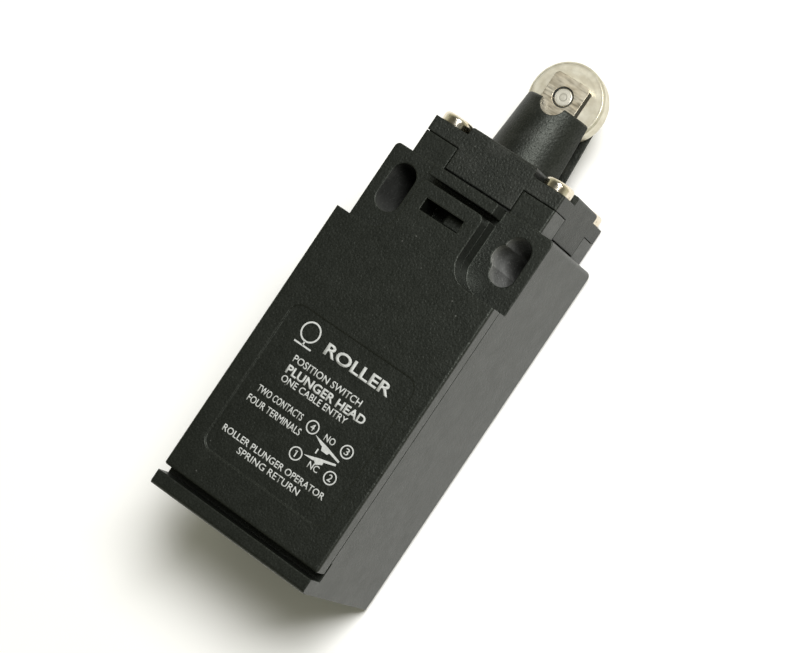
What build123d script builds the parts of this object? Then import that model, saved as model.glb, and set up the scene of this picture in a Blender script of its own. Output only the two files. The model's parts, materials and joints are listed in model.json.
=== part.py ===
from build123d import *
import os

# Roller plunger limit switch with a plastic casing 30 mm wide.
# All sizes are millimetres. +X is to the right, +Y runs up to the roller, +Z comes out of the cover.
# The origin lies on the rear mounting face, midway between the two mounting slots.

# Casing
HALF_WIDTH = 15.0
CASE_BOTTOM = -57.6
CASE_TOP = 6.1
EAR_FRONT = 25.5
SEAM = 28.5
WALL = 2.4
REAR_ROUND = 1.5
CHAMBER_HALF = HALF_WIDTH - WALL
CHAMBER_BOTTOM = -48.6
CHAMBER_TOP = -8.8
CONDUIT_R = 9.3
LIP_INNER = -55.2
LIP_FRONT = 32.0
LIP_ROUND = 0.6
HINGE_GROOVE_DEPTH = 0.4
EAR_CORNER_R = 0.8

# Axis of the plunger, the head and the conduit entry
AXIS_Z = 12.9

# Mounting slots: two upright slots; the right one has a round hole set into its inner side
SLOT_X = 11.0
SLOT_R = 2.15
SLOT_LENGTH = 8.2
INNER_HOLE_X = 10.0

# Cover
COVER_BACK = 28.7
COVER_FRONT = 31.65
COVER_BOTTOM = -54.0
COVER_BOTTOM_ROUND = 0.4
COVER_SIDE_ROUND = 0.4
SHOULDER = -7.2
TONGUE_TOP = 3.3
SCALLOP_X = 9.7
SCALLOP_Y = -3.3
SCALLOP_R = 3.9
TONGUE_HALF = SCALLOP_X - SCALLOP_R
COVER_SKIN = 1.65
TONGUE_CORNER_R = 1.0
HOLLOW_HALF = CHAMBER_HALF - 0.2
HOLLOW_BOTTOM = -50.0
HOLLOW_TOP = -9.0
CATCH_HALF = 2.5
CATCH_BOTTOM = 1.5
CATCH_TOP = 2.6
CATCH_BACK = 26.4
LABEL_HALF = 11.85
LABEL_BOTTOM = -48.5
LABEL_TOP = -22.5
LABEL_DEPTH = 0.2
LABEL_CORNER_R = 2.0
WINDOW_HALF = 3.5
WINDOW_BOTTOM = -1.0
WINDOW_TOP = 1.1
GASKET_WIDTH = 0.8
GASKET_HALF = 14.0
GASKET_BOTTOM = -51.4
GASKET_TOP = -7.6
GASKET_BACK = 28.52
GROOVE_FLOOR = 29.5

# Ridge above the cover's tongue
RIDGE_HALF = 6.0
RIDGE_BOTTOM = 4.3
RIDGE_FRONT = 30.2

# Cover hinge
HINGE_Y = -53.0
HINGE_Z = 29.9
HINGE_PIN_R = 0.75
HINGE_GAP = 0.05
LUG_R = 1.1
LUG_WEB = 0.7
LUG_INNER = 8.0
LUG_OUTER = 10.0
LUG_GAP = 0.3
PIN_INNER = 6.5
PIN_OUTER = 11.5

# Latch behind the window; its foot and nose are given as left, right, bottom, top
POCKET_HALF = 4.0
POCKET_BOTTOM = -1.6
POCKET_TOP = 2.9
POCKET_FLOOR = 24.5
LATCH_CLEARANCE = 0.1
LATCH_FOOT = (-1.6, 3.6, -1.4, 1.3)
LATCH_FOOT_TOP = 26.0
LATCH_NOSE = (-0.5, 3.3, -0.85, 0.95)
LATCH_NOSE_TOP = 28.9
LATCH_NOSE_ROUND = 0.5

# Head
HEAD_HALF = 12.3
CROSS_HALF = 6.2
FLANGE_BOTTOM = 10.2
FLANGE_TOP = 12.7
CROSS_TOP = 14.15
STEM_BOTTOM = 6.6
POST_INNER = 6.35
POST_ROUND = 0.3
POST_GAP = 0.15
POST_RIM = 0.4
CROSS_ROUND = 0.5
SCREW_X = 9.7
SCREW_Z = 9.3
SCREW_END = 5.2
SCREW_SHANK_R = 1.35
SCREW_HEAD_R = 2.5
SCREW_HEAD_HEIGHT = 1.7
SCREW_HEAD_ROUND = 0.7
SCREW_CROSS_HALF = 1.7
SCREW_CROSS_WIDTH = 0.7
CROSS_DEPTH = 0.8

# Tube that guides the plunger
TUBE_TOP = 24.3
TUBE_BASE_R = 6.7
TUBE_TOP_R = 6.0
TUBE_BORE_R = 5.0
TUBE_SLOT_HALF = 2.0
TUBE_NOTCH_R = 2.1
TUBE_ROUND = 0.5
HEAD_FLOOR = 8.6
GUIDE_R = 2.3

# Plunger
TRAVEL = 4.5
FORK_BASE_R = 4.8
FORK_BASE_BOTTOM = 16.0
FORK_BASE_TOP = 18.6
FORK_TOP = 29.2
FORK_HALF_WIDTH = 3.2
FORK_INNER = 1.85
FORK_OUTER = 3.5
FORK_CORNER_R = 0.8
PUSHROD_R = 2.0
PUSHROD_BOTTOM = -5.8
PUSHROD_TOP = 17.0

# Roller
ROLLER_Y = 25.95
ROLLER_R = 6.26
ROLLER_HALF = 1.7
ROLLER_CHAMFER = 0.35
BUSH_R = 2.4
PIN_R = 1.5
PIN_GAP = 0.05
PIN_RIM_R = 1.7
PIN_RIM_DEPTH = 0.6

# Seal and retaining ring in the casing's upper bore
UPPER_BORE_R = 4.0
UPPER_BORE_FLOOR = -3.0
SEAL_HEIGHT = 2.0
SEAL_GAP = 0.05
RETAINER_HEIGHT = 0.8
RING_BOTTOM = 5.6
RING_TOP = 6.3
RING_R = 3.3

# Contact block
BLOCK_HALF = 12.2
BLOCK_BOTTOM = -35.5
BLOCK_TOP = -10.5
BLOCK_BACK = 4.4
BLOCK_FRONT = 18.0
TROUGH_HALF = 4.6
TROUGH_BOTTOM = -33.5
TROUGH_TOP = -12.5
TROUGH_FLOOR = 7.8
CHANNEL_HALF = 8.6
LID_HALF = 5.3
LID_THICKNESS = 1.6
BLOCK_SCREW_X = 10.2
BLOCK_SCREW_Y = -23.0
BOSS_R = 2.2
PILOT_HOLE_R = 1.1
BLOCK_SCREW_HOLE_R = 1.35
BLOCK_SCREW_HEAD_R = 1.9
BLOCK_SCREW_HEAD_HEIGHT = 1.6
BLOCK_SCREW_SHANK_R = 1.05
SMALL_CROSS_SHARE = 0.7
SMALL_CROSS_WIDTH = 0.6
NC_CHANNEL_BOTTOM = -20.4
NO_CHANNEL_TOP = -26.0

# Contacts: each pair of terminals is bridged by a moving bar
STRIP = 0.8
TIP_R = 1.2
TIP_HEIGHT = 0.5
TIP_X = 7.0
BRIDGE_THICKNESS = 0.6
BRIDGE_HALF = 8.0
BRIDGE_HALF_WIDTH = 1.5
NC_STRIP_TOP = -14.6
NO_STRIP_BOTTOM = -31.5
CARRIER_TRAVEL = TRAVEL / 2
CLOSED_GAP = 0.05
TERMINAL_SCREW_X = 10.0
NC_SCREW_Y = -17.7
NO_SCREW_Y = -28.3
TERMINAL_HOLE_R = 1.25
TERMINAL_HEAD_R = 2.1
TERMINAL_HEAD_HEIGHT = 1.8
TERMINAL_SHANK_R = 1.2
TERMINAL_SCREW_END = 13.5
CLAMP_HALF_WIDTH = 2.0
CLAMP_HALF_LENGTH = 2.3
NC_PAD_BOTTOM = -20.6
NO_PAD_TOP = -25.4
PAD_INNER = 5.6
PAD_OUTER = 12.0
LEG_OUTER = 8.4
LEG_BACK = 11.2

# Carrier
CARRIER_HALF = 4.2
CARRIER_BOTTOM = -30.2
CARRIER_TOP = -13.2
CARRIER_BACK = 8.1
CARRIER_FRONT = 17.7
CARRIER_STEM_R = 1.5
CARRIER_STEM_TOP = -8.15
CARRIER_SPRING_TOP = -28.5
SPRING_SEAT_R = 1.9

# Springs, as (mean radius, wire radius), and their turns
RETURN_SPRING = (3.3, 0.3)
RETURN_TURNS = 4.5
CARRIER_SPRING = (1.4, 0.18)
CARRIER_TURNS = 5

# Faces of the moving contacts, worked out from the fixed ones
NC_FIXED_FACE = NC_STRIP_TOP - STRIP - TIP_HEIGHT
NC_BRIDGE_TOP = NC_FIXED_FACE - CLOSED_GAP - TIP_HEIGHT
NO_FIXED_FACE = NO_STRIP_BOTTOM + STRIP + TIP_HEIGHT
NO_BRIDGE_BOTTOM = NO_FIXED_FACE + CLOSED_GAP + CARRIER_TRAVEL + TIP_HEIGHT


def block(x0, x1, y0, y1, z0, z1):
    """A box between two corners."""
    size = Box(x1 - x0, y1 - y0, z1 - z0)
    return Pos((x0 + x1) / 2, (y0 + y1) / 2, (z0 + z1) / 2) * size


def rod_x(r, x0, x1, y, z):
    """A cylinder along X."""
    return Pos((x0 + x1) / 2, y, z) * Rot(0, 90, 0) * Cylinder(r, x1 - x0)


def rod_y(r, y0, y1, x=0.0, z=AXIS_Z):
    """A cylinder along Y."""
    return Pos(x, (y0 + y1) / 2, z) * Rot(90, 0, 0) * Cylinder(r, y1 - y0)


def rod_z(r, z0, z1, x, y):
    """A cylinder along Z."""
    return Pos(x, y, (z0 + z1) / 2) * Cylinder(r, z1 - z0)


def coil(mean_r, wire_r, y0, y1, turns):
    """A round-wire compression spring along Y, on the plunger's axis."""
    height = y1 - y0 - 2 * wire_r
    path = Helix(pitch=height / turns, height=height, radius=mean_r)
    section = Plane(origin=path @ 0, z_dir=path % 0) * Circle(wire_r)
    spring = sweep(section, path=path)
    return Pos(0, y0 + wire_r, AXIS_Z) * Rot(-90, 0, 0) * spring


def both_sides(make):
    """The shapes for the right side and the left side, as a list."""
    return [make(1), make(-1)]


def cover_outline(bottom, back, front):
    """The front outline: a full-width panel that narrows by two scallops to a tongue."""
    start = (HALF_WIDTH, bottom)
    with BuildPart() as outline:
        with BuildSketch(Plane.XY.offset(back)):
            with BuildLine():
                Polyline(
                    (-HALF_WIDTH, SHOULDER),
                    (-HALF_WIDTH, bottom),
                    start,
                    (HALF_WIDTH, SHOULDER),
                    (SCALLOP_X, SHOULDER),
                )
                scallop_end = (TONGUE_HALF, SCALLOP_Y)
                RadiusArc((SCALLOP_X, SHOULDER), scallop_end, SCALLOP_R)
                Polyline(
                    scallop_end,
                    (TONGUE_HALF, TONGUE_TOP),
                    (-TONGUE_HALF, TONGUE_TOP),
                    (-TONGUE_HALF, SCALLOP_Y),
                )
                RadiusArc((-TONGUE_HALF, SCALLOP_Y), (-SCALLOP_X, SHOULDER), SCALLOP_R)
                Line((-SCALLOP_X, SHOULDER), (-HALF_WIDTH, SHOULDER))
            make_face()
        extrude(amount=front - back)
    return outline.part


def mounting_slot(side):
    """One mounting slot, cut from the rear face through the ear."""
    depth = EAR_FRONT + 2
    straight = SLOT_LENGTH - 2 * SLOT_R
    slot = block(
        side * SLOT_X - SLOT_R, side * SLOT_X + SLOT_R, -straight / 2, straight / 2, -1, depth
    )
    for y in (-straight / 2, straight / 2):
        slot += rod_z(SLOT_R, -1, depth, side * SLOT_X, y)
    if side > 0:
        slot += rod_z(SLOT_R, -1, depth, INNER_HOLE_X, 0)
    return slot


def head_screw_places():
    """The four screw axes in the corners of the head."""
    return [(sx * SCREW_X, AXIS_Z + sz * SCREW_Z) for sx in (1, -1) for sz in (1, -1)]


def corner_posts():
    """Four posts that fill the corners under the flange, each with a shallow groove below its top."""
    middle = (POST_INNER + HEAD_HALF) / 2
    size = HEAD_HALF - POST_INNER
    core_size = size - 2 * POST_RIM
    height = FLANGE_BOTTOM - CASE_TOP
    posts = []
    for sx in (1, -1):
        for sz in (1, -1):
            post = Pos(0, -POST_GAP / 2, 0) * Box(size, height - POST_GAP, size)
            upright = post.edges().filter_by(Axis.Y)
            outer = upright.sort_by(lambda edge: sx * edge.center().X + sz * edge.center().Z)[-1]
            post = fillet(outer, POST_ROUND) + Box(core_size, height, core_size)
            posts.append(Pos(sx * middle, (CASE_TOP + FLANGE_BOTTOM) / 2, AXIS_Z + sz * middle) * post)
    return posts


def hinge_lug(side):
    """A lug on the casing that carries one hinge pin."""
    x0, x1 = sorted((side * LUG_INNER, side * LUG_OUTER))
    lug = rod_x(LUG_R, x0, x1, HINGE_Y, HINGE_Z)
    lug += block(x0, x1, HINGE_Y - LUG_WEB, HINGE_Y + LUG_WEB, SEAM - 1, HINGE_Z)
    return lug - rod_x(HINGE_PIN_R + HINGE_GAP, x0 - 1, x1 + 1, HINGE_Y, HINGE_Z)


def make_casing():
    """The casing: an open-fronted box with mounting ears, a bottom lip and a conduit entry."""
    body = block(-HALF_WIDTH, HALF_WIDTH, CASE_BOTTOM, CASE_TOP, 0, EAR_FRONT)
    corners = body.edges().filter_by(Axis.Z).group_by(Axis.Y)[-1]
    body = fillet(corners, EAR_CORNER_R)
    body = fillet(body.edges().group_by(Axis.Z)[0], REAR_ROUND)
    body += cover_outline(CASE_BOTTOM, EAR_FRONT, SEAM)
    body += block(-HALF_WIDTH, HALF_WIDTH, CASE_BOTTOM, LIP_INNER, SEAM, LIP_FRONT)
    body += block(-RIDGE_HALF, RIDGE_HALF, RIDGE_BOTTOM, CASE_TOP, EAR_FRONT, RIDGE_FRONT)
    for post in corner_posts():
        body += post
    body -= block(-CHAMBER_HALF, CHAMBER_HALF, CHAMBER_BOTTOM, CHAMBER_TOP, WALL, SEAM + 1)
    body -= block(
        -HALF_WIDTH, HALF_WIDTH, LIP_INNER, HINGE_Y + LUG_R, SEAM - HINGE_GROOVE_DEPTH, SEAM + 1
    )
    for side in (1, -1):
        body += hinge_lug(side)
        body += rod_z(BOSS_R, WALL, BLOCK_BACK, side * BLOCK_SCREW_X, BLOCK_SCREW_Y)
    body -= rod_y(CONDUIT_R, CASE_BOTTOM - 1, CHAMBER_BOTTOM + 1)
    body -= rod_y(GUIDE_R, CHAMBER_TOP - 1, CASE_TOP + 1)
    body -= rod_y(UPPER_BORE_R, UPPER_BORE_FLOOR, CASE_TOP + 1)
    body -= block(-POCKET_HALF, POCKET_HALF, POCKET_BOTTOM, POCKET_TOP, POCKET_FLOOR, SEAM + 1)
    for side in (1, -1):
        body -= mounting_slot(side)
        body -= rod_z(PILOT_HOLE_R, WALL / 2, BLOCK_BACK + 1, side * BLOCK_SCREW_X, BLOCK_SCREW_Y)
    for x, z in head_screw_places():
        body -= rod_y(SCREW_SHANK_R + 0.05, SCREW_END - 0.3, FLANGE_BOTTOM + 1, x, z)
    lip_edges = body.edges().filter_by(Axis.X).group_by(Axis.Z)[-1].sort_by(Axis.Y)
    return fillet(lip_edges[0], LIP_ROUND)


def make_front_cover():
    """The hinged cover, hollow behind, with a label recess, a window and a gasket groove."""
    cover = cover_outline(COVER_BOTTOM, COVER_BACK, COVER_FRONT)
    tongue_corners = cover.edges().filter_by(Axis.Z).group_by(Axis.Y)[-1]
    cover = fillet(tongue_corners, TONGUE_CORNER_R)
    bottom_edges = cover.edges().filter_by(Axis.X).group_by(Axis.Y)[0]
    cover = fillet(bottom_edges.sort_by(Axis.Z)[-1], COVER_BOTTOM_ROUND)
    long_edges = cover.edges().filter_by(Axis.Y).group_by(Axis.Z)[-1].sort_by(Axis.X)
    cover = fillet([long_edges[0], long_edges[-1]], COVER_SIDE_ROUND)
    hollow_front = COVER_FRONT - COVER_SKIN
    cover -= block(-HOLLOW_HALF, HOLLOW_HALF, HOLLOW_BOTTOM, HOLLOW_TOP, COVER_BACK - 1, hollow_front)
    cover -= gasket_ring(COVER_BACK - 1, GROOVE_FLOOR)
    label = RectangleRounded(2 * LABEL_HALF, LABEL_TOP - LABEL_BOTTOM, LABEL_CORNER_R)
    label = extrude(Pos(0, (LABEL_TOP + LABEL_BOTTOM) / 2, COVER_FRONT - LABEL_DEPTH) * label, 1)
    cover -= label
    cover -= block(-WINDOW_HALF, WINDOW_HALF, WINDOW_BOTTOM, WINDOW_TOP, COVER_BACK - 1, COVER_FRONT + 1)
    cover += block(-CATCH_HALF, CATCH_HALF, CATCH_BOTTOM, CATCH_TOP, CATCH_BACK, COVER_BACK + 0.5)
    for side in (1, -1):
        x0, x1 = sorted((side * (LUG_INNER - LUG_GAP), side * (LUG_OUTER + LUG_GAP)))
        reach = LUG_R + LUG_GAP
        cover -= rod_x(reach, x0, x1, HINGE_Y, HINGE_Z)
        cover -= block(x0, x1, COVER_BOTTOM - 1, HINGE_Y + LUG_WEB + LUG_GAP, COVER_BACK - 1, HINGE_Z)
        cover -= block(x0, x1, COVER_BOTTOM - 1, HINGE_Y, COVER_BACK - 1, HINGE_Z + LUG_WEB + LUG_GAP)
        x0, x1 = sorted((side * PIN_INNER, side * PIN_OUTER))
        cover -= rod_x(HINGE_PIN_R, x0, x1, HINGE_Y, HINGE_Z)
    return cover


def gasket_ring(back, front):
    """A rectangular ring that follows the casing's rim."""
    ring = block(-GASKET_HALF, GASKET_HALF, GASKET_BOTTOM, GASKET_TOP, back, front)
    inner = GASKET_HALF - GASKET_WIDTH
    return ring - block(
        -inner, inner, GASKET_BOTTOM + GASKET_WIDTH, GASKET_TOP - GASKET_WIDTH, back - 1, front + 1
    )


def make_hinge_pins():
    """Two short pins, held in the cover and turning in the casing's lugs."""
    return both_sides(
        lambda side: rod_x(
            HINGE_PIN_R, *sorted((side * PIN_INNER, side * PIN_OUTER)), HINGE_Y, HINGE_Z
        )
    )


def make_cover_latch():
    """The sliding latch that a screwdriver pushes sideways through the window."""
    latch = block(*LATCH_FOOT, POCKET_FLOOR + LATCH_CLEARANCE, LATCH_FOOT_TOP)
    nose = block(*LATCH_NOSE, LATCH_FOOT_TOP - 0.5, LATCH_NOSE_TOP)
    nose = fillet(nose.edges().filter_by(Axis.Y).group_by(Axis.Z)[-1], LATCH_NOSE_ROUND)
    return latch + nose


def make_head_housing():
    """The head: a square flange, a raised cross with its stem, and the slotted guide tube."""
    low, high = AXIS_Z - HEAD_HALF, AXIS_Z + HEAD_HALF
    head = block(-HEAD_HALF, HEAD_HALF, FLANGE_BOTTOM, FLANGE_TOP, low, high)
    head = fillet(head.edges().filter_by(Axis.Y), POST_ROUND)
    cross = block(-HEAD_HALF, HEAD_HALF, STEM_BOTTOM, CROSS_TOP, AXIS_Z - CROSS_HALF, AXIS_Z + CROSS_HALF)
    cross += block(-CROSS_HALF, CROSS_HALF, STEM_BOTTOM, CROSS_TOP, low, high)
    cross = fillet(cross.edges().group_by(Axis.Y)[-1], CROSS_ROUND)
    head += cross
    height = TUBE_TOP - CROSS_TOP
    tube = Cone(TUBE_BASE_R, TUBE_TOP_R, height)
    head += Pos(0, (CROSS_TOP + TUBE_TOP) / 2, AXIS_Z) * Rot(-90, 0, 0) * tube
    head = fillet(head.edges().group_by(Axis.Y)[-1], TUBE_ROUND)
    head -= rod_y(TUBE_BORE_R, HEAD_FLOOR, TUBE_TOP + 1)
    head -= rod_y(GUIDE_R, STEM_BOTTOM - 1, TUBE_TOP)
    head -= block(
        -TUBE_BASE_R - 1,
        TUBE_BASE_R + 1,
        CROSS_TOP,
        TUBE_TOP + 1,
        AXIS_Z - TUBE_SLOT_HALF,
        AXIS_Z + TUBE_SLOT_HALF,
    )
    head -= rod_z(TUBE_NOTCH_R, AXIS_Z - TUBE_BASE_R - 1, AXIS_Z + TUBE_BASE_R + 1, 0, TUBE_TOP)
    for x, z in head_screw_places():
        head -= rod_y(SCREW_SHANK_R + 0.25, FLANGE_BOTTOM - 1, FLANGE_TOP + 1, x, z)
    return head


def make_head_gasket():
    """A flat cross-shaped seal under the head's stem."""
    arm = HEAD_HALF - 0.8
    width = CROSS_HALF - 0.2
    gasket = block(-arm, arm, CASE_TOP, STEM_BOTTOM, AXIS_Z - width, AXIS_Z + width)
    gasket += block(-width, width, CASE_TOP, STEM_BOTTOM, AXIS_Z - arm, AXIS_Z + arm)
    return gasket - rod_y(UPPER_BORE_R, CASE_TOP - 1, STEM_BOTTOM + 1)


def screw_y(x, z, seat, end):
    """A pan-head screw that points down -Y, with a cross recess."""
    head = rod_y(SCREW_HEAD_R, seat, seat + SCREW_HEAD_HEIGHT, x, z)
    head = fillet(head.edges().group_by(Axis.Y)[-1], SCREW_HEAD_ROUND)
    screw = head + rod_y(SCREW_SHANK_R, end, seat + 0.1, x, z)
    top = seat + SCREW_HEAD_HEIGHT
    long_half, short_half = SCREW_CROSS_HALF, SCREW_CROSS_WIDTH / 2
    for half_x, half_z in ((long_half, short_half), (short_half, long_half)):
        screw -= block(x - half_x, x + half_x, top - CROSS_DEPTH, top + 1, z - half_z, z + half_z)
    return screw


def screw_z(x, y, seat, end, head_r, head_height, shank_r):
    """A cheese-head screw that points down -Z, with a cross recess."""
    screw = rod_z(head_r, seat, seat + head_height, x, y)
    screw = chamfer(screw.edges().group_by(Axis.Z)[-1], 0.3)
    screw += rod_z(shank_r, end, seat + 0.1, x, y)
    top = seat + head_height
    long_half, short_half = head_r * SMALL_CROSS_SHARE, SMALL_CROSS_WIDTH / 2
    for half_x, half_y in ((long_half, short_half), (short_half, long_half)):
        screw -= block(x - half_x, x + half_x, y - half_y, y + half_y, top - CROSS_DEPTH, top + 1)
    return screw


def make_plunger_fork():
    """The plunger's metal fork: a round base and two cheeks that hold the roller's pin."""
    fork = rod_y(FORK_BASE_R, FORK_BASE_BOTTOM, FORK_BASE_TOP)
    for side in (1, -1):
        z0, z1 = sorted((AXIS_Z + side * FORK_INNER, AXIS_Z + side * FORK_OUTER))
        cheek = block(-FORK_HALF_WIDTH, FORK_HALF_WIDTH, FORK_BASE_BOTTOM, FORK_TOP, z0, z1)
        cheek = fillet(cheek.edges().filter_by(Axis.Z).group_by(Axis.Y)[-1], FORK_CORNER_R)
        cheek -= rod_z(PIN_R, z0 - 1, z1 + 1, 0, ROLLER_Y)
        rim = sorted((AXIS_Z + side * (FORK_OUTER - PIN_RIM_DEPTH), AXIS_Z + side * (FORK_OUTER + 1)))
        fork += cheek - rod_z(PIN_RIM_R, *rim, 0, ROLLER_Y)
    return fork - rod_y(PUSHROD_R, FORK_BASE_BOTTOM - 1, PUSHROD_TOP)


def make_roller():
    """The roller's steel tyre, chamfered on both edges."""
    roller = rod_z(ROLLER_R, AXIS_Z - ROLLER_HALF, AXIS_Z + ROLLER_HALF, 0, ROLLER_Y)
    roller = chamfer(roller.edges(), ROLLER_CHAMFER)
    return roller - rod_z(BUSH_R, 0, 2 * AXIS_Z, 0, ROLLER_Y)


def make_roller_bush():
    """The bearing bush pressed into the roller."""
    bush = rod_z(BUSH_R, AXIS_Z - ROLLER_HALF, AXIS_Z + ROLLER_HALF, 0, ROLLER_Y)
    return bush - rod_z(PIN_R + PIN_GAP, 0, 2 * AXIS_Z, 0, ROLLER_Y)


def make_roller_pin():
    """The pin through both cheeks, a little below their outer faces."""
    end = FORK_OUTER - 0.1
    pin = rod_z(PIN_R, AXIS_Z - end, AXIS_Z + end, 0, ROLLER_Y)
    return chamfer(pin.edges(), 0.15)


def make_pushrod():
    """The rod that carries the plunger's movement down to the contacts."""
    rod = rod_y(PUSHROD_R, PUSHROD_BOTTOM, PUSHROD_TOP)
    return fillet(rod.edges().group_by(Axis.Y)[0], 0.8)


def ring_y(inner, outer, y0, y1):
    """A flat ring around the plunger's axis."""
    return rod_y(outer, y0, y1) - rod_y(inner, y0 - 1, y1 + 1)


def make_block_base():
    """The contact block's moulded base, with a trough for the carrier and two cross channels."""
    base = block(-BLOCK_HALF, BLOCK_HALF, BLOCK_BOTTOM, BLOCK_TOP, BLOCK_BACK, BLOCK_FRONT)
    base = fillet(base.edges().filter_by(Axis.Z), 0.8)
    front = BLOCK_FRONT + 1
    base -= block(-TROUGH_HALF, TROUGH_HALF, TROUGH_BOTTOM, TROUGH_TOP, TROUGH_FLOOR, front)
    base -= block(-CHANNEL_HALF, CHANNEL_HALF, NC_CHANNEL_BOTTOM, NC_STRIP_TOP, TROUGH_FLOOR, front)
    base -= block(-CHANNEL_HALF, CHANNEL_HALF, NO_STRIP_BOTTOM, NO_CHANNEL_TOP, TROUGH_FLOOR, front)
    base -= rod_y(CARRIER_STEM_R + 0.2, TROUGH_TOP - 1, BLOCK_TOP + 1)
    for side in (1, -1):
        base -= rod_z(BLOCK_SCREW_HOLE_R, BLOCK_BACK - 1, front, side * BLOCK_SCREW_X, BLOCK_SCREW_Y)
        for y in (NC_SCREW_Y, NO_SCREW_Y):
            base -= rod_z(TERMINAL_HOLE_R, BLOCK_FRONT - 5, front, side * TERMINAL_SCREW_X, y)
    return base


def make_block_cover():
    """The strip that closes the carrier's trough."""
    front = BLOCK_FRONT + LID_THICKNESS
    lid = block(-LID_HALF, LID_HALF, BLOCK_BOTTOM, BLOCK_TOP, BLOCK_FRONT, front)
    return chamfer(lid.edges().group_by(Axis.Z)[-1], 0.4)


def make_carrier():
    """The slider that carries both moving bridges."""
    carrier = block(-CARRIER_HALF, CARRIER_HALF, CARRIER_BOTTOM, CARRIER_TOP, CARRIER_BACK, CARRIER_FRONT)
    carrier = chamfer(carrier.edges().filter_by(Axis.Y), 0.5)
    carrier += rod_y(CARRIER_STEM_R, CARRIER_TOP - 1, CARRIER_STEM_TOP)
    carrier -= rod_y(SPRING_SEAT_R, CARRIER_BOTTOM - 1, CARRIER_SPRING_TOP)
    for bottom in (NC_BRIDGE_TOP - BRIDGE_THICKNESS, NO_BRIDGE_BOTTOM):
        width = BRIDGE_HALF_WIDTH + 0.1
        carrier -= block(
            -CARRIER_HALF - 1,
            CARRIER_HALF + 1,
            bottom - 0.1,
            bottom + BRIDGE_THICKNESS + 0.1,
            AXIS_Z - width,
            AXIS_Z + width,
        )
    return carrier


def make_bridge(bottom):
    """A springy bar that joins two terminals when it is closed."""
    low, high = AXIS_Z - BRIDGE_HALF_WIDTH, AXIS_Z + BRIDGE_HALF_WIDTH
    bar = block(-BRIDGE_HALF, BRIDGE_HALF, bottom, bottom + BRIDGE_THICKNESS, low, high)
    return fillet(bar.edges().filter_by(Axis.Y), 0.7)


def make_moving_tips():
    """Silver tips on the ends of both bridges."""
    tips = []
    for x in (TIP_X, -TIP_X):
        tips.append(rod_y(TIP_R, NC_BRIDGE_TOP, NC_BRIDGE_TOP + TIP_HEIGHT, x))
        tips.append(rod_y(TIP_R, NO_BRIDGE_BOTTOM - TIP_HEIGHT, NO_BRIDGE_BOTTOM, x))
    return tips


def make_fixed_tips():
    """Silver tips on the legs of the four terminals."""
    tips = []
    for x in (TIP_X, -TIP_X):
        tips.append(rod_y(TIP_R, NC_FIXED_FACE, NC_FIXED_FACE + TIP_HEIGHT, x))
        tips.append(rod_y(TIP_R, NO_FIXED_FACE - TIP_HEIGHT, NO_FIXED_FACE, x))
    return tips


def make_terminal(side, leg_bottom, pad_bottom, pad_top, screw_y_place):
    """A brass strip: a pad under the screw and a leg with the fixed contact."""
    x0, x1 = sorted((side * PAD_INNER, side * PAD_OUTER))
    strip = block(x0, x1, pad_bottom, pad_top, BLOCK_FRONT, BLOCK_FRONT + STRIP)
    x0, x1 = sorted((side * PAD_INNER, side * LEG_OUTER))
    strip += block(x0, x1, leg_bottom, leg_bottom + STRIP, LEG_BACK, BLOCK_FRONT + STRIP)
    return strip - rod_z(TERMINAL_HOLE_R, LEG_BACK, BLOCK_FRONT + 2, side * TERMINAL_SCREW_X, screw_y_place)


def terminal_screw_places():
    """The four terminal screws, seen from the front."""
    return [(side * TERMINAL_SCREW_X, y) for side in (1, -1) for y in (NC_SCREW_Y, NO_SCREW_Y)]


def make_wire_clamps():
    """A square clamping washer under each terminal screw."""
    back = BLOCK_FRONT + STRIP
    clamps = []
    for x, y in terminal_screw_places():
        clamp = block(
            x - CLAMP_HALF_WIDTH,
            x + CLAMP_HALF_WIDTH,
            y - CLAMP_HALF_LENGTH,
            y + CLAMP_HALF_LENGTH,
            back,
            back + STRIP,
        )
        clamp = chamfer(clamp.edges().group_by(Axis.Z)[-1], 0.2)
        clamps.append(clamp - rod_z(TERMINAL_HOLE_R, back - 1, back + 2, x, y))
    return clamps


def make_terminal_screws():
    """The screws that clamp the wires."""
    seat = BLOCK_FRONT + 2 * STRIP
    return [
        screw_z(x, y, seat, TERMINAL_SCREW_END, TERMINAL_HEAD_R, TERMINAL_HEAD_HEIGHT, TERMINAL_SHANK_R)
        for x, y in terminal_screw_places()
    ]


def make_block_screws():
    """The two screws that hold the contact block in the casing."""
    size = (BLOCK_SCREW_HEAD_R, BLOCK_SCREW_HEAD_HEIGHT, BLOCK_SCREW_SHANK_R)
    return both_sides(
        lambda side: screw_z(side * BLOCK_SCREW_X, BLOCK_SCREW_Y, BLOCK_FRONT, WALL / 2 + 0.3, *size)
    )


def save(name, shape):
    """Write one part as parts/NAME.step."""
    if isinstance(shape, list):
        shape = Compound(children=shape)
    export_step(shape, f"parts/{name}.step")


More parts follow.
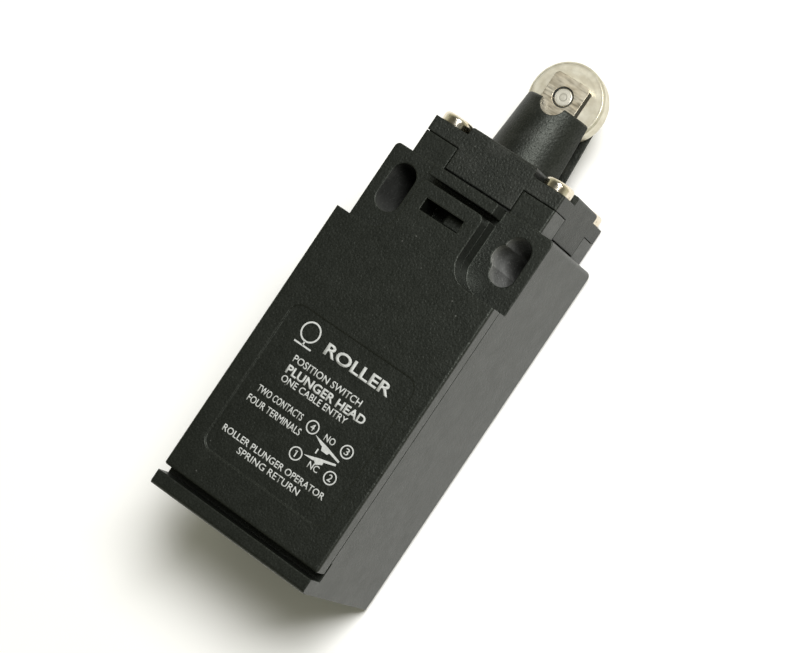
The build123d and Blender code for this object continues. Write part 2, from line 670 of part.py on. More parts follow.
def main():
    os.makedirs("parts", exist_ok=True)
    seal_top = UPPER_BORE_FLOOR + SEAL_HEIGHT
    nc_leg = NC_STRIP_TOP - STRIP
    parts = {
        "casing": make_casing(),
        "front_cover": make_front_cover(),
        "cover_gasket": gasket_ring(GASKET_BACK, GROOVE_FLOOR),
        "hinge_pins": make_hinge_pins(),
        "cover_latch": make_cover_latch(),
        "head_housing": make_head_housing(),
        "head_gasket": make_head_gasket(),
        "head_screws": [screw_y(x, z, FLANGE_TOP, SCREW_END) for x, z in head_screw_places()],
        "plunger_fork": make_plunger_fork(),
        "pushrod": make_pushrod(),
        "return_spring": coil(*RETURN_SPRING, HEAD_FLOOR, FORK_BASE_BOTTOM, RETURN_TURNS),
        "retaining_ring": ring_y(PUSHROD_R, RING_R, RING_BOTTOM, RING_TOP),
        "plunger_seal": ring_y(PUSHROD_R + SEAL_GAP, UPPER_BORE_R, UPPER_BORE_FLOOR, seal_top),
        "seal_retainer": ring_y(GUIDE_R, UPPER_BORE_R, seal_top, seal_top + RETAINER_HEIGHT),
        "roller": make_roller(),
        "roller_bush": make_roller_bush(),
        "roller_pin": make_roller_pin(),
        "contact_block_base": make_block_base(),
        "contact_block_cover": make_block_cover(),
        "contact_carrier": make_carrier(),
        "carrier_spring": coil(*CARRIER_SPRING, TROUGH_BOTTOM, CARRIER_SPRING_TOP, CARRIER_TURNS),
        "nc_bridge": make_bridge(NC_BRIDGE_TOP - BRIDGE_THICKNESS),
        "no_bridge": make_bridge(NO_BRIDGE_BOTTOM),
        "moving_contact_tips": make_moving_tips(),
        "fixed_contact_tips": make_fixed_tips(),
        "nc_terminal_right": make_terminal(1, nc_leg, NC_PAD_BOTTOM, NC_STRIP_TOP, NC_SCREW_Y),
        "nc_terminal_left": make_terminal(-1, nc_leg, NC_PAD_BOTTOM, NC_STRIP_TOP, NC_SCREW_Y),
        "no_terminal_right": make_terminal(1, NO_STRIP_BOTTOM, NO_STRIP_BOTTOM, NO_PAD_TOP, NO_SCREW_Y),
        "no_terminal_left": make_terminal(-1, NO_STRIP_BOTTOM, NO_STRIP_BOTTOM, NO_PAD_TOP, NO_SCREW_Y),
        "terminal_screws": make_terminal_screws(),
        "wire_clamps": make_wire_clamps(),
        "contact_block_screws": make_block_screws(),
    }
    for name, shape in parts.items():
        save(name, shape)


main()
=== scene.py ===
"""A roller plunger limit switch: the CAD parts' materials, the pieces the scene adds, and a plain studio.

Lengths in the names and calls below are in mm, in the part's own frame: +X to the right, +Y up to the
roller and +Z out of the cover. Points handed to Blender are in metres.
"""

import json
import math

import bmesh
import bpy
from mathutils import Matrix, Vector


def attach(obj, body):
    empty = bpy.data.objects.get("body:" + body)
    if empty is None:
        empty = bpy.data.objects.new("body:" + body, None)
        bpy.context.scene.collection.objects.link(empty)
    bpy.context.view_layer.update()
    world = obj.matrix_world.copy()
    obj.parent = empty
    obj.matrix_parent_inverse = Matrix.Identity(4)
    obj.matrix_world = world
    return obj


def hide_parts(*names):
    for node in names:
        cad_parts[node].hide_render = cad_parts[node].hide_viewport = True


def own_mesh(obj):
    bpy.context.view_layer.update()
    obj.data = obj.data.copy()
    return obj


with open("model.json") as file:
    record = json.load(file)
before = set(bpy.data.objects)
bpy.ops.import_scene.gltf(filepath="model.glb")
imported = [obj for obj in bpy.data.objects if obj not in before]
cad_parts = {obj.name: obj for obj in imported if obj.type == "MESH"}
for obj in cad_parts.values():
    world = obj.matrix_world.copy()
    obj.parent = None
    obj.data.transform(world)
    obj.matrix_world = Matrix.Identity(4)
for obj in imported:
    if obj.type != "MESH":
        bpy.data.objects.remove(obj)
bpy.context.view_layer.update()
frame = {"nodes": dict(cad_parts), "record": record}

MM = 0.001
# The plunger's axis runs along Y at this height, in metres
AXIS_Z = 12.9 * MM
# The roller turns on a pin along Z at this place, in mm
ROLLER_Y = 25.95
PIN_R = 1.5
PIN_RIM_R = 1.7

# The camera: where it stands in metres, the direction from its target back to it, and the one that is up
CAMERA_AT = (0.139479, -0.011337, 0.403094)
CAMERA_BACK = (0.34103, 0.01389, 0.93995)
CAMERA_UP = (-0.52761, 0.83038, 0.17915)
LENS_MM = 119.2
SENSOR_MM = 36.0


# ---------------------------------------------------------------- materials
def new_material(name):
    """An empty material with its output, shader and object-space coordinates."""
    material = bpy.data.materials.new(name)
    material.use_nodes = True
    tree = material.node_tree
    tree.nodes.clear()
    output = tree.nodes.new("ShaderNodeOutputMaterial")
    shader = tree.nodes.new("ShaderNodeBsdfPrincipled")
    tree.links.new(shader.outputs["BSDF"], output.inputs["Surface"])
    place = tree.nodes.new("ShaderNodeTexCoord")
    return material, tree, shader, place.outputs["Object"]


def noise(tree, place, size_mm, detail=2.0, stretch=None):
    """A noise value whose features are about size_mm across; stretch scales it along each axis."""
    node = tree.nodes.new("ShaderNodeTexNoise")
    node.inputs["Scale"].default_value = 1.0 / (size_mm * MM)
    node.inputs["Detail"].default_value = detail
    if stretch:
        mapping = tree.nodes.new("ShaderNodeMapping")
        mapping.inputs["Scale"].default_value = stretch
        tree.links.new(place, mapping.inputs["Vector"])
        place = mapping.outputs["Vector"]
    tree.links.new(place, node.inputs["Vector"])
    return node.outputs["Fac"]


def ramp(tree, value, stops):
    """Maps a value to colours; stops are (position, grey or colour)."""
    node = tree.nodes.new("ShaderNodeValToRGB")
    elements = node.color_ramp.elements
    while len(elements) < len(stops):
        elements.new(0.5)
    for element, (position, colour) in zip(elements, stops):
        element.position = position
        rgb = (colour, colour, colour) if isinstance(colour, float) else colour
        element.color = (*rgb, 1.0)
    tree.links.new(value, node.inputs["Fac"])
    return node.outputs["Color"]


def mix_colour(tree, share, a, b):
    """Blends colour socket or value a towards b by the share."""
    node = tree.nodes.new("ShaderNodeMix")
    node.data_type = "RGBA"
    tree.links.new(share, node.inputs["Factor"])
    for socket, colour in (("A", a), ("B", b)):
        target = [s for s in node.inputs if s.name == socket and s.type == "RGBA"][0]
        if isinstance(colour, tuple):
            target.default_value = (*colour, 1.0)
        else:
            tree.links.new(colour, target)
    return [s for s in node.outputs if s.type == "RGBA"][0]


# Rays that the edge rounding takes, and the rounding on turned metal in mm
EDGE_SAMPLES = 6
TURNED_EDGE = 0.12


def surface(tree, shader, layers, edge_mm):
    """Rounds the hard edges in shading, then adds bump layers, each a height value and a depth in mm."""
    edges = tree.nodes.new("ShaderNodeBevel")
    edges.samples = EDGE_SAMPLES
    edges.inputs["Radius"].default_value = edge_mm * MM
    normal = edges.outputs["Normal"]
    for height, depth_mm in layers:
        node = tree.nodes.new("ShaderNodeBump")
        node.inputs["Distance"].default_value = depth_mm * MM
        tree.links.new(height, node.inputs["Height"])
        tree.links.new(normal, node.inputs["Normal"])
        normal = node.outputs["Normal"]
    tree.links.new(normal, shader.inputs["Normal"])


def specks(tree, place, spacing_mm, size):
    """Sparse round specks, 1 inside a speck and 0 elsewhere."""
    cells = tree.nodes.new("ShaderNodeTexVoronoi")
    cells.inputs["Scale"].default_value = 1.0 / (spacing_mm * MM)
    tree.links.new(place, cells.inputs["Vector"])
    return ramp(tree, cells.outputs["Distance"], [(0.0, 1.0), (size, 1.0), (size * 1.6, 0.0)])


DUST = (0.16, 0.16, 0.15)
SMUDGE = (0.05, 0.05, 0.047)
SOFT_HIGHLIGHT = (0.94, 1.0, 0.90, 1.0)


def plastic(
    name, dark, light, rough, grain_mm, grain_depth_mm, specular=0.5, dust=0.5, smudge=0.0, edge_mm=0.3
):
    """Moulded plastic: fine grain, cloudy gloss, a few specks of dust and, where asked for, dusty smudges."""
    material, tree, shader, place = new_material(name)
    cloud = noise(tree, place, 7.0, 4.0)
    base = mix_colour(tree, ramp(tree, cloud, [(0.35, 0.0), (0.65, 1.0)]), dark, light)
    flecks = ramp(tree, noise(tree, place, grain_mm * 0.8, 1.0), [(0.6, 0.0), (0.75, 0.55)])
    base = mix_colour(tree, flecks, base, tuple(channel * 2.2 for channel in light))
    dust_mask = specks(tree, place, 3.1, 0.028)
    thin = ramp(tree, noise(tree, place, 9.0, 1.0), [(0.52, 0.0), (0.6, dust)])
    masked = tree.nodes.new("ShaderNodeMath")
    masked.operation = "MULTIPLY"
    tree.links.new(dust_mask, masked.inputs[0])
    tree.links.new(thin, masked.inputs[1])
    base = mix_colour(tree, masked.outputs["Value"], base, DUST)
    if smudge:
        patches = ramp(tree, noise(tree, place, 4.0, 9.0), [(0.52, 0.0), (0.72, smudge)])
        base = mix_colour(tree, patches, base, SMUDGE)
    tree.links.new(base, shader.inputs["Base Color"])
    gloss = ramp(tree, noise(tree, place, 2.3, 6.0), [(0.3, rough - 0.02), (0.7, rough + 0.03)])
    tree.links.new(gloss, shader.inputs["Roughness"])
    speckle = noise(tree, place, grain_mm * 0.9, 2.0)
    level = ramp(tree, speckle, [(0.35, specular * 0.72), (0.65, specular * 1.28)])
    tree.links.new(level, shader.inputs["Specular IOR Level"])
    shader.inputs["Specular Tint"].default_value = SOFT_HIGHLIGHT
    grain = noise(tree, place, grain_mm, 3.0)
    pits = specks(tree, place, grain_mm * 2.2, 0.3)
    surface(tree, shader, [(grain, grain_depth_mm), (pits, -grain_depth_mm * 0.4)], edge_mm)
    return material


TARNISH = (0.18, 0.15, 0.11)


def metal(
    name, colour, tint, rough, stretch=None, line_mm=0.25, depth_mm=0.004, spots=0.0, edge_mm=0.1
):
    """Bare or plated metal, with fine tool lines and a cloudy finish."""
    material, tree, shader, place = new_material(name)
    shader.inputs["Metallic"].default_value = 1.0
    cloud = noise(tree, place, 1.6, 4.0)
    base = mix_colour(tree, ramp(tree, cloud, [(0.35, 0.0), (0.7, 1.0)]), colour, tint)
    if spots:
        dull = ramp(tree, noise(tree, place, 0.5, 5.0), [(0.56, 0.0), (0.7, spots)])
        base = mix_colour(tree, dull, base, TARNISH)
    tree.links.new(base, shader.inputs["Base Color"])
    lines = noise(tree, place, line_mm, 4.0, stretch)
    gloss = ramp(tree, lines, [(0.3, rough * 0.8), (0.7, rough * 1.3)])
    tree.links.new(gloss, shader.inputs["Roughness"])
    surface(tree, shader, [(lines, depth_mm)], edge_mm)
    return material


def turned_metal(name, colour, tint, rough, centre, ring_mm, depth_mm):
    """Metal with turning rings around a Z axis through centre."""
    material, tree, shader, place = new_material(name)
    shader.inputs["Metallic"].default_value = 1.0
    shift = tree.nodes.new("ShaderNodeVectorMath")
    shift.operation = "SUBTRACT"
    shift.inputs[1].default_value = centre
    tree.links.new(place, shift.inputs[0])
    flat = tree.nodes.new("ShaderNodeVectorMath")
    flat.operation = "MULTIPLY"
    flat.inputs[1].default_value = (1.0, 1.0, 0.0)
    tree.links.new(shift.outputs["Vector"], flat.inputs[0])
    length = tree.nodes.new("ShaderNodeVectorMath")
    length.operation = "LENGTH"
    tree.links.new(flat.outputs["Vector"], length.inputs[0])
    rings = noise(tree, length.outputs["Value"], ring_mm, 3.0)
    cloud = noise(tree, place, 1.3, 4.0)
    base = mix_colour(tree, ramp(tree, cloud, [(0.35, 0.0), (0.7, 1.0)]), colour, tint)
    tree.links.new(base, shader.inputs["Base Color"])
    gloss = ramp(tree, rings, [(0.3, rough * 0.8), (0.7, rough * 1.25)])
    tree.links.new(gloss, shader.inputs["Roughness"])
    surface(tree, shader, [(rings, depth_mm)], TURNED_EDGE)
    return material


def print_ink():
    """The label's white ink, a little uneven."""
    material, tree, shader, place = new_material("label_ink")
    patchy = ramp(tree, noise(tree, place, 0.5, 3.0), [(0.3, 0.0), (0.6, 1.0)])
    base = mix_colour(tree, patchy, (0.39, 0.40, 0.39), (0.49, 0.50, 0.49))
    tree.links.new(base, shader.inputs["Base Color"])
    shader.inputs["Roughness"].default_value = 0.6
    return material


ROLLER_CENTRE = (0.0, ROLLER_Y * MM, 0.0)
CASE = plastic("case_plastic", (0.0030, 0.0037, 0.0027), (0.0040, 0.0048, 0.0036), 0.40, 0.26, 0.022, 0.46)
HEAD = plastic(
    "head_plastic", (0.0026, 0.0031, 0.0024), (0.0036, 0.0041, 0.0033), 0.48, 0.24, 0.034, 0.42, smudge=0.22
)
RUBBER = plastic("seal_rubber", (0.012, 0.012, 0.012), (0.018, 0.018, 0.018), 0.75, 0.12, 0.01)
BLOCK = plastic("block_plastic", (0.23, 0.035, 0.022), (0.27, 0.045, 0.028), 0.45, 0.3, 0.006)
CREAM = plastic("carrier_plastic", (0.62, 0.58, 0.47), (0.68, 0.64, 0.53), 0.35, 0.3, 0.005)
NICKEL = metal(
    "nickel", (0.50, 0.44, 0.33), (0.74, 0.69, 0.57), 0.38, (0.15, 1.0, 1.0), 0.3, 0.0006, edge_mm=0.12
)
SCREW = metal("plated_screw", (0.70, 0.61, 0.46), (0.82, 0.78, 0.70), 0.16, None, 0.6, 0.001, 0.45, 0.3)
ROLLER = turned_metal(
    "roller_steel", (0.57, 0.53, 0.42), (0.72, 0.69, 0.58), 0.46, ROLLER_CENTRE, 0.18, 0.001
)
PIN = turned_metal("pin_steel", (0.74, 0.71, 0.61), (0.92, 0.89, 0.80), 0.40, ROLLER_CENTRE, 0.35, 0.022)
# Painted dark reflection: near-black plastic for the fork's side faces, in place of the dark surroundings
# they reflect.
FORK_SIDE_PAINTED_REFLECTION = plastic(
    "fork_side_painted_reflection", (0.010, 0.009, 0.006), (0.03, 0.027, 0.019), 0.6, 0.4, 0.004, 0.12, dust=0.0
)
BUSH = turned_metal("bush_brass", (0.62, 0.43, 0.18), (0.72, 0.53, 0.26), 0.3, ROLLER_CENTRE, 0.15, 0.003)
BRASS = metal("contact_brass", (0.66, 0.47, 0.20), (0.78, 0.60, 0.31), 0.26, (1.0, 0.2, 1.0), 0.2, 0.003)
SILVER = metal("contact_silver", (0.80, 0.79, 0.76), (0.88, 0.87, 0.85), 0.25)
SPRING = metal("spring_steel", (0.42, 0.41, 0.40), (0.55, 0.54, 0.52), 0.28, None, 0.15, 0.002)
INK = print_ink()
# Painted light: pale plastics for the mounting slots' walls, in place of the light that reaches into them,
# the right one paler than the left.
RIGHT_SLOT_PAINTED_LIGHT = plastic("right_slot_painted_light", (0.15, 0.153, 0.147), (0.30, 0.303, 0.295), 0.6, 0.5, 0.05, 0.3)
LEFT_SLOT_PAINTED_LIGHT = plastic("left_slot_painted_light", (0.035, 0.037, 0.034), (0.07, 0.072, 0.068), 0.55, 0.5, 0.04, 0.3)

NODE_MATERIALS = {
    "case_plastic": CASE,
    "head_plastic": HEAD,
    "seal_rubber": RUBBER,
    "plain_steel": PIN,
    "plated_screw": SCREW,
    "nickel": NICKEL,
    "spring_steel": SPRING,
    "roller_steel": ROLLER,
    "bush_brass": BUSH,
    "contact_brass": BRASS,
    "contact_silver": SILVER,
    "block_plastic": BLOCK,
    "carrier_plastic": CREAM,
}
SLOT_OF = {entry["node"]: entry["material_slot"] for entry in frame["record"]["subparts"]}
BODY_OF = {
    node: body
    for body, nodes in frame["record"]["behaviour"]["bodies"].items()
    for node in nodes
}


def set_material(obj, material):
    """Puts one material on every face of an object."""
    obj.data.materials.clear()
    obj.data.materials.append(material)


def keep_node(node):
    """A CAD node that keeps its shape and gets its material here."""
    obj = frame["nodes"][node]
    for place in obj.material_slots:
        place.material = NODE_MATERIALS[SLOT_OF[node]]


# ---------------------------------------------------------------- pieces made from the CAD shapes
def finish_mesh(obj, angle_deg=32.0):
    """Smooth shading, broken at edges sharper than the angle."""
    for polygon in obj.data.polygons:
        polygon.use_smooth = True
    obj.data.set_sharp_from_angle(angle=math.radians(angle_deg))


def repainted(node, choose):
    """A copy in place of a CAD node; choose gives a face its own material from its centre and normal."""
    mesh = frame["nodes"][node].data.copy()
    mesh.name = node + "_painted"
    obj = bpy.data.objects.new(mesh.name, mesh)
    bpy.context.scene.collection.objects.link(obj)
    set_material(obj, NODE_MATERIALS[SLOT_OF[node]])
    slots = {}
    for polygon in mesh.polygons:
        material = choose(polygon.center / MM, polygon.normal)
        if material is None:
            continue
        if material.name not in slots:
            mesh.materials.append(material)
            slots[material.name] = len(mesh.materials) - 1
        polygon.material_index = slots[material.name]
    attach(obj, BODY_OF[node])
    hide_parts(node)


# The space around each mounting slot that holds its walls and nothing else
SLOT_WALL_X = (7.6, 13.3)
SLOT_WALL_Y = 4.3
SLOT_WALL_Z = (0.1, 25.4)
UPRIGHT = 0.3


def slot_wall_painted_light(centre, normal):
    """The mounting slots' walls, painted light: pale plastic stands in for the light that reaches into them,
    paler in the right one, duller in the left one.
    """
    x, y, z = centre
    across = SLOT_WALL_X[0] < abs(x) < SLOT_WALL_X[1]
    inside = across and abs(y) < SLOT_WALL_Y and SLOT_WALL_Z[0] < z < SLOT_WALL_Z[1]
    if not inside or abs(normal.z) > UPRIGHT:
        return None
    return RIGHT_SLOT_PAINTED_LIGHT if x > 0 else LEFT_SLOT_PAINTED_LIGHT


# The fork's cheeks start above this height, and their side edges face almost straight along X
CHEEK_BOTTOM = 19.0
SIDEWAYS = 0.9


def paint_fork_side_reflection(centre, normal):
    """The fork's side faces, painted near black as a painted dark reflection of their surroundings."""
    return FORK_SIDE_PAINTED_REFLECTION if abs(normal.x) > SIDEWAYS and centre.y > CHEEK_BOTTOM else None


# ---------------------------------------------------------------- springs
# How finely a spring is drawn, the part of a turn that closes each end, and that end's rise in wire radii
SPRING_STEPS = 28
WIRE_SIDES = 10
DEAD_TURN = 0.75
DEAD_RISE = 1.2


def coil_spring(node, name, radius_mm, wire_mm, turns, low_mm, high_mm):
    """A round-wire spring with closed ends, along Y."""
    steps = SPRING_STEPS
    sides = WIRE_SIDES
    length = high_mm - low_mm - 2 * wire_mm
    total = int(turns * steps)
    grid = bmesh.new()
    rings = []
    for i in range(total + 1):
        share = i / total
        turn = share * turns
        dead = DEAD_TURN
        if turn < dead:
            rise = turn / dead * wire_mm * DEAD_RISE
        elif turn > turns - dead:
            rise = length - (turns - turn) / dead * wire_mm * DEAD_RISE
        else:
            part = (turn - dead) / (turns - 2 * dead)
            rise = wire_mm * DEAD_RISE + part * (length - wire_mm * (2 * DEAD_RISE))
        angle = turn * math.tau
        height = low_mm + wire_mm + rise
        centre = Vector((radius_mm * math.cos(angle), height, radius_mm * math.sin(angle)))
        outward = Vector((math.cos(angle), 0.0, math.sin(angle)))
        ring = []
        for k in range(sides):
            around = k / sides * math.tau
            offset = outward * math.cos(around) + Vector((0.0, math.sin(around), 0.0))
            ring.append(grid.verts.new((centre + offset * wire_mm) * MM + Vector((0.0, 0.0, AXIS_Z))))
        rings.append(ring)
    for first, second in zip(rings, rings[1:]):
        for k in range(sides):
            grid.faces.new((first[k], first[(k + 1) % sides], second[(k + 1) % sides], second[k]))
    grid.faces.new(rings[0][::-1])
    grid.faces.new(rings[-1])
    bmesh.ops.recalc_face_normals(grid, faces=grid.faces)
    mesh = bpy.data.meshes.new(name)
    grid.to_mesh(mesh)
    grid.free()
    obj = bpy.data.objects.new(name, mesh)
    bpy.context.scene.collection.objects.link(obj)
    set_material(obj, SPRING)
    finish_mesh(obj, 50.0)
    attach(obj, "housing")
    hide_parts(node)
    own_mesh(obj)
    return obj


# ---------------------------------------------------------------- the label's print
LABEL_FACE = 31.45
INK_THICKNESS = 0.02


def to_mesh_object(curve_object, name):
    """Turns a text or curve object into a plain mesh object at the same place."""
    bpy.context.view_layer.update()
    graph = bpy.context.evaluated_depsgraph_get()
    mesh = bpy.data.meshes.new_from_object(curve_object.evaluated_get(graph))
    mesh.transform(curve_object.matrix_world)
    mesh.name = name
    obj = bpy.data.objects.new(name, mesh)
    bpy.context.scene.collection.objects.link(obj)
    bpy.data.objects.remove(curve_object)
    return obj


def ink(obj):
    """Finishes a piece of print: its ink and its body."""
    set_material(obj, INK)
    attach(obj, "cover")
    return obj


def words(name, text, x_mm, y_mm, width_mm, height_mm, weight=0.0):
    """One line of print with its left end and baseline at x, y, fitted to a width and a cap height."""
    data = bpy.data.curves.new(name, "FONT")
    data.body = text
    data.size = 1.0
    data.offset = weight
    data.extrude = 0.0
    data.resolution_u = 4
    text_object = bpy.data.objects.new(name, data)
    bpy.context.scene.collection.objects.link(text_object)
    obj = to_mesh_object(text_object, name)
    xs = [v.co.x for v in obj.data.vertices]
    ys = [v.co.y for v in obj.data.vertices]
    scale_x = width_mm * MM / (max(xs) - min(xs))
    scale_y = height_mm * MM / (max(ys) - min(ys))
    place = Matrix.Translation((x_mm * MM, y_mm * MM, LABEL_FACE * MM))
    size = Matrix.Diagonal((scale_x, scale_y, 1.0, 1.0))
    start = Matrix.Translation((-min(xs), -min(ys), 0.0))
    obj.data.transform(place @ size @ start)
    return thicken(obj)


def thicken(obj):
    """Gives flat print its thickness of ink."""
    solid = obj.modifiers.new("ink", "SOLIDIFY")
    solid.thickness = INK_THICKNESS * MM
    solid.offset = 1.0
    return ink(obj)


def flat_piece(name, points, faces, z_mm):
    """A flat mesh at one height, from points in mm and faces between them."""
    mesh = bpy.data.meshes.new(name)
    mesh.from_pydata([(x * MM, y * MM, z_mm * MM) for x, y in points], [], faces)
    obj = bpy.data.objects.new(name, mesh)
    bpy.context.scene.collection.objects.link(obj)
    return obj


def outline_shape(name, points, faces):
    """A flat piece of print."""
    return thicken(flat_piece(name, points, faces, LABEL_FACE))


def stroke(name, points, width_mm, closed=False):
    """A line of even width through points, in mm."""
    count = len(points)
    left, right = [], []
    for i, (x, y) in enumerate(points):
        before = points[i - 1] if i or closed else points[0]
        after = points[(i + 1) % count] if i < count - 1 or closed else points[-1]
        run = Vector((after[0] - before[0], after[1] - before[1])).normalized()
        side = Vector((-run.y, run.x)) * width_mm / 2
        left.append((x + side.x, y + side.y))
        right.append((x - side.x, y - side.y))
    spans = count if closed else count - 1
    faces = [(i, (i + 1) % count, count + (i + 1) % count, count + i) for i in range(spans)]
    faces = [face[::-1] for face in faces]
    return outline_shape(name, left + right, faces)


def circle_points(x, y, radius, count=40):
    """Points around a circle, in mm."""
    turns = [i / count * math.tau for i in range(count)]
    return [(x + radius * math.cos(a), y + radius * math.sin(a)) for a in turns]


def contact_symbol(name, pivot, tip, flag_side):
    """A switch blade: a tapered bar with a small flag at its middle."""
    start, end = Vector(pivot), Vector(tip)
    run = (end - start).normalized()
    side = Vector((-run.y, run.x)) * flag_side
    length = (end - start).length

    def at(share, out):
        point = start + run * (length * share) + side * out
        return (point.x, point.y)

    points = [at(0, 0), at(0.30, 0.42), at(0.36, 0.42), at(0.42, 0.95), at(0.62, 0.72), at(0.64, 0.3)]
    points += [at(1, 0.26), at(1, -0.06), at(0.5, -0.12)]
    order = tuple(range(len(points)))
    return outline_shape(name, points, [order if flag_side < 0 else order[::-1]])


# The terminals in the contact diagram and where each one's circle is
TERMINAL_PLACES = {
    "4": (1.67, -36.75),
    "3": (8.32, -36.85),
    "1": (1.73, -41.4),
    "2": (8.38, -41.45),
}


def make_label():
    """All the print on the cover: plain words, a pictogram of a roller and the contact diagram."""
    stroke("print_ring", circle_points(-7.0, -25.3, 1.55), 0.26, closed=True)
    stroke("print_ring_lever", [(-8.6, -27.6), (-5.4, -27.6)], 0.26)
    stroke("print_ring_stem", [(-7.0, -26.9), (-7.0, -27.6)], 0.26)
    words("print_title", "ROLLER", -3.6, -26.9, 12.4, 2.0, 0.025)
    words("print_kind", "POSITION SWITCH", -7.0, -30.4, 13.0, 1.15, 0.012)
    words("print_type", "PLUNGER HEAD", -7.0, -32.4, 15.0, 1.45, 0.03)
    words("print_entry", "ONE CABLE ENTRY", -6.9, -33.8, 12.5, 1.12, 0.012)
    words("print_contacts", "TWO CONTACTS", -9.2, -37.1, 8.7, 1.15, 0.012)
    words("print_terminals", "FOUR TERMINALS", -9.7, -39.1, 10.2, 1.15, 0.012)
    words("print_no", "NO", 4.1, -37.4, 1.9, 1.1, 0.012)
    words("print_nc", "NC", 4.3, -42.1, 1.9, 1.1, 0.012)
    for number, (x, y) in TERMINAL_PLACES.items():
        stroke("print_circle_" + number, circle_points(x, y, 0.98), 0.2, closed=True)
        if number == "1":
            stroke("print_number_1", [(x - 0.25, y + 0.3), (x + 0.04, y + 0.5), (x + 0.04, y - 0.55)], 0.2)
        else:
            words("print_number_" + number, number, x - 0.36, y - 0.55, 0.72, 1.1, 0.012)
    contact_symbol("print_blade_no", (2.7, -37.4), (8.2, -38.7), -1)
    contact_symbol("print_blade_nc", (2.8, -40.8), (8.0, -39.3), -1)
    stroke("print_cam", [(4.3, -39.7), (4.3, -38.9)], 0.22)
    words("print_line_1", "ROLLER PLUNGER OPERATOR", -10.3, -44.9, 19.6, 1.1, 0.012)
    words("print_line_2", "SPRING RETURN", -6.3, -46.5, 11.9, 1.1, 0.008)


# ---------------------------------------------------------------- the conduit's thread
# The thread's root and crest radii, its pitch, where it starts and ends along Y, and the steps in a turn
THREAD_ROOT = 9.29
THREAD_CREST = 8.85
THREAD_PITCH = 1.814
THREAD_FIRST = -57.2
THREAD_LAST = -49.0
THREAD_STEPS = 72
THREAD_FOOT = 0.36
THREAD_TOP = 0.10


def make_conduit_thread():
    """The thread in the conduit entry: a helical ridge just inside the bore's wall."""
    radius, crest, pitch = THREAD_ROOT, THREAD_CREST, THREAD_PITCH
    first, last = THREAD_FIRST, THREAD_LAST
    steps = THREAD_STEPS
    turns = (last - first - pitch) / pitch
    total = int(turns * steps)
    profile = [(-THREAD_FOOT, radius), (-THREAD_TOP, crest), (THREAD_TOP, crest), (THREAD_FOOT, radius)]
    grid = bmesh.new()
    rings = []
    for i in range(total + 1):
        turn = i / steps
        fade = min(1.0, turn * 2, (turns - turn) * 2 + 0.02)
        angle = turn * math.tau
        ring = []
        for along, reach in profile:
            r = radius - (radius - reach) * max(fade, 0.03)
            y = first + pitch / 2 + turn * pitch + along * pitch * 0.9
            point = (r * math.cos(angle) * MM, y * MM, AXIS_Z + r * math.sin(angle) * MM)
            ring.append(grid.verts.new(point))
        rings.append(ring)
    count = len(profile)
    for one, two in zip(rings, rings[1:]):
        for k in range(count):
            grid.faces.new((one[k], one[(k + 1) % count], two[(k + 1) % count], two[k]))
    grid.faces.new(rings[0][::-1])
    grid.faces.new(rings[-1])
    bmesh.ops.recalc_face_normals(grid, faces=grid.faces)
    mesh = bpy.data.meshes.new("conduit_thread")
    grid.to_mesh(mesh)
    grid.free()
    obj = bpy.data.objects.new("conduit_thread", mesh)
    bpy.context.scene.collection.objects.link(obj)
    set_material(obj, CASE)
    finish_mesh(obj, 30.0)
    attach(obj, "housing")


# ---------------------------------------------------------------- painted shade around the roller's pin
# How high the painted shade lies, just below the fork's face
PIN_SHADE_Z = 16.2


def make_pin_painted_shade():
    """Painted shade: a dark ring laid in the groove around the pin's end."""
    inner = circle_points(0.0, ROLLER_Y, PIN_R)
    outer = circle_points(0.0, ROLLER_Y, PIN_RIM_R)
    count = len(inner)
    faces = [(i, count + i, count + (i + 1) % count, (i + 1) % count) for i in range(count)]
    shade_ring = flat_piece("pin_groove_painted_shade", inner + outer, faces, PIN_SHADE_Z)
    set_material(shade_ring, RUBBER)
    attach(shade_ring, "plunger")


# ---------------------------------------------------------------- stage
# Half the floor's side, in metres, and its two shades of paper
FLOOR_HALF = 4.0
PAPER_DARK = (0.90, 0.895, 0.885)
PAPER_LIGHT = (0.93, 0.925, 0.915)


def make_floor():
    """A plain pale floor with a very slight unevenness."""
    mesh = bpy.data.meshes.new("floor")
    half = FLOOR_HALF
    corners = [(-half, -half, 0), (half, -half, 0), (half, half, 0), (-half, half, 0)]
    mesh.from_pydata(corners, [], [(0, 1, 2, 3)])
    floor = bpy.data.objects.new("floor", mesh)
    bpy.context.scene.collection.objects.link(floor)
    material, tree, shader, place = new_material("floor_paper")
    tint = ramp(tree, noise(tree, place, 60.0, 2.0), [(0.3, PAPER_DARK), (0.7, PAPER_LIGHT)])
    tree.links.new(tint, shader.inputs["Base Color"])
    shader.inputs["Roughness"].default_value = 0.85
    shader.inputs["Specular IOR Level"].default_value = 0.1
    set_material(floor, material)


def make_area_light(name, position, aim, size, power, colour=(1.0, 1.0, 1.0)):
    """A square soft light that faces a point."""
    data = bpy.data.lights.new(name, "AREA")
    data.shape = "SQUARE"
    data.size = size
    data.energy = power
    data.color = colour
    light = bpy.data.objects.new(name, data)
    light.location = position
    direction = Vector(aim) - Vector(position)
    light.rotation_euler = direction.to_track_quat("-Z", "Y").to_euler()
    bpy.context.scene.collection.objects.link(light)


def tinted(level):
    """The room's faintly warm light at a level."""
    return (level, level * 0.995, level * 0.78)


# The room's light from the horizon, at 0, to straight overhead, at 1
SKY_LEVELS = [(0.0, 0.70), (0.35, 0.54), (0.7, 0.14), (1.0, 0.08)]


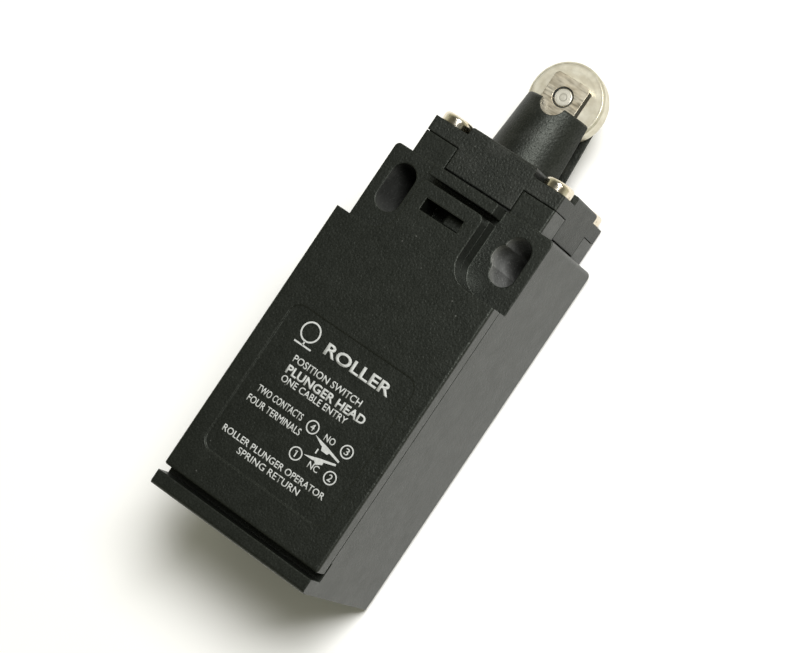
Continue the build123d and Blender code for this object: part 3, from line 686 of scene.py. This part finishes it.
def make_world():
    """Soft light from all round: pale at the horizon, dim overhead."""
    world = bpy.data.worlds.new("studio")
    bpy.context.scene.world = world
    world.use_nodes = True
    tree = world.node_tree
    background = tree.nodes["Background"]
    place = tree.nodes.new("ShaderNodeTexCoord")
    split = tree.nodes.new("ShaderNodeSeparateXYZ")
    tree.links.new(place.outputs["Generated"], split.inputs["Vector"])
    shade = ramp(tree, split.outputs["Z"], [(height, tinted(level)) for height, level in SKY_LEVELS])
    tree.links.new(shade, background.inputs["Color"])
    background.inputs["Strength"].default_value = 1.0


def make_camera():
    """The camera at the photograph's viewing angle."""
    data = bpy.data.cameras.new("camera")
    data.lens = LENS_MM
    data.sensor_width = SENSOR_MM
    data.clip_start = 0.02
    data.clip_end = 20.0
    camera = bpy.data.objects.new("camera", data)
    back = Vector(CAMERA_BACK).normalized()
    right = Vector(CAMERA_UP).cross(back).normalized()
    up = back.cross(right)
    turn = Matrix((right, up, back)).transposed()
    camera.matrix_world = Matrix.Translation(CAMERA_AT) @ turn.to_4x4()
    bpy.context.scene.collection.objects.link(camera)
    bpy.context.scene.camera = camera


# ---------------------------------------------------------------- build
REPLACED_NODES = ("casing", "plunger_fork", "return_spring", "carrier_spring")
# The key light: its place in metres, its side in metres, its power in watts and its colour
KEY_AT = (0.21, 0.31, 0.78)
KEY_SIZE = 0.33
KEY_POWER = 9.4
KEY_COLOUR = (1.0, 0.998, 0.985)

for node in frame["nodes"]:
    if node not in REPLACED_NODES:
        keep_node(node)
repainted("casing", slot_wall_painted_light)
repainted("plunger_fork", paint_fork_side_reflection)
coil_spring("return_spring", "return_spring_coil", 3.3, 0.3, 5.5, 8.6, 16.0)
coil_spring("carrier_spring", "carrier_spring_coil", 1.4, 0.18, 6.5, -33.5, -28.5)
make_label()
make_conduit_thread()
make_pin_painted_shade()

make_floor()
make_world()
make_area_light("key", KEY_AT, (0, 0, 0), KEY_SIZE, KEY_POWER, KEY_COLOUR)
make_camera()
view = bpy.context.scene.view_settings
view.view_transform = "Standard"
view.look = "None"
view.exposure = 0.0
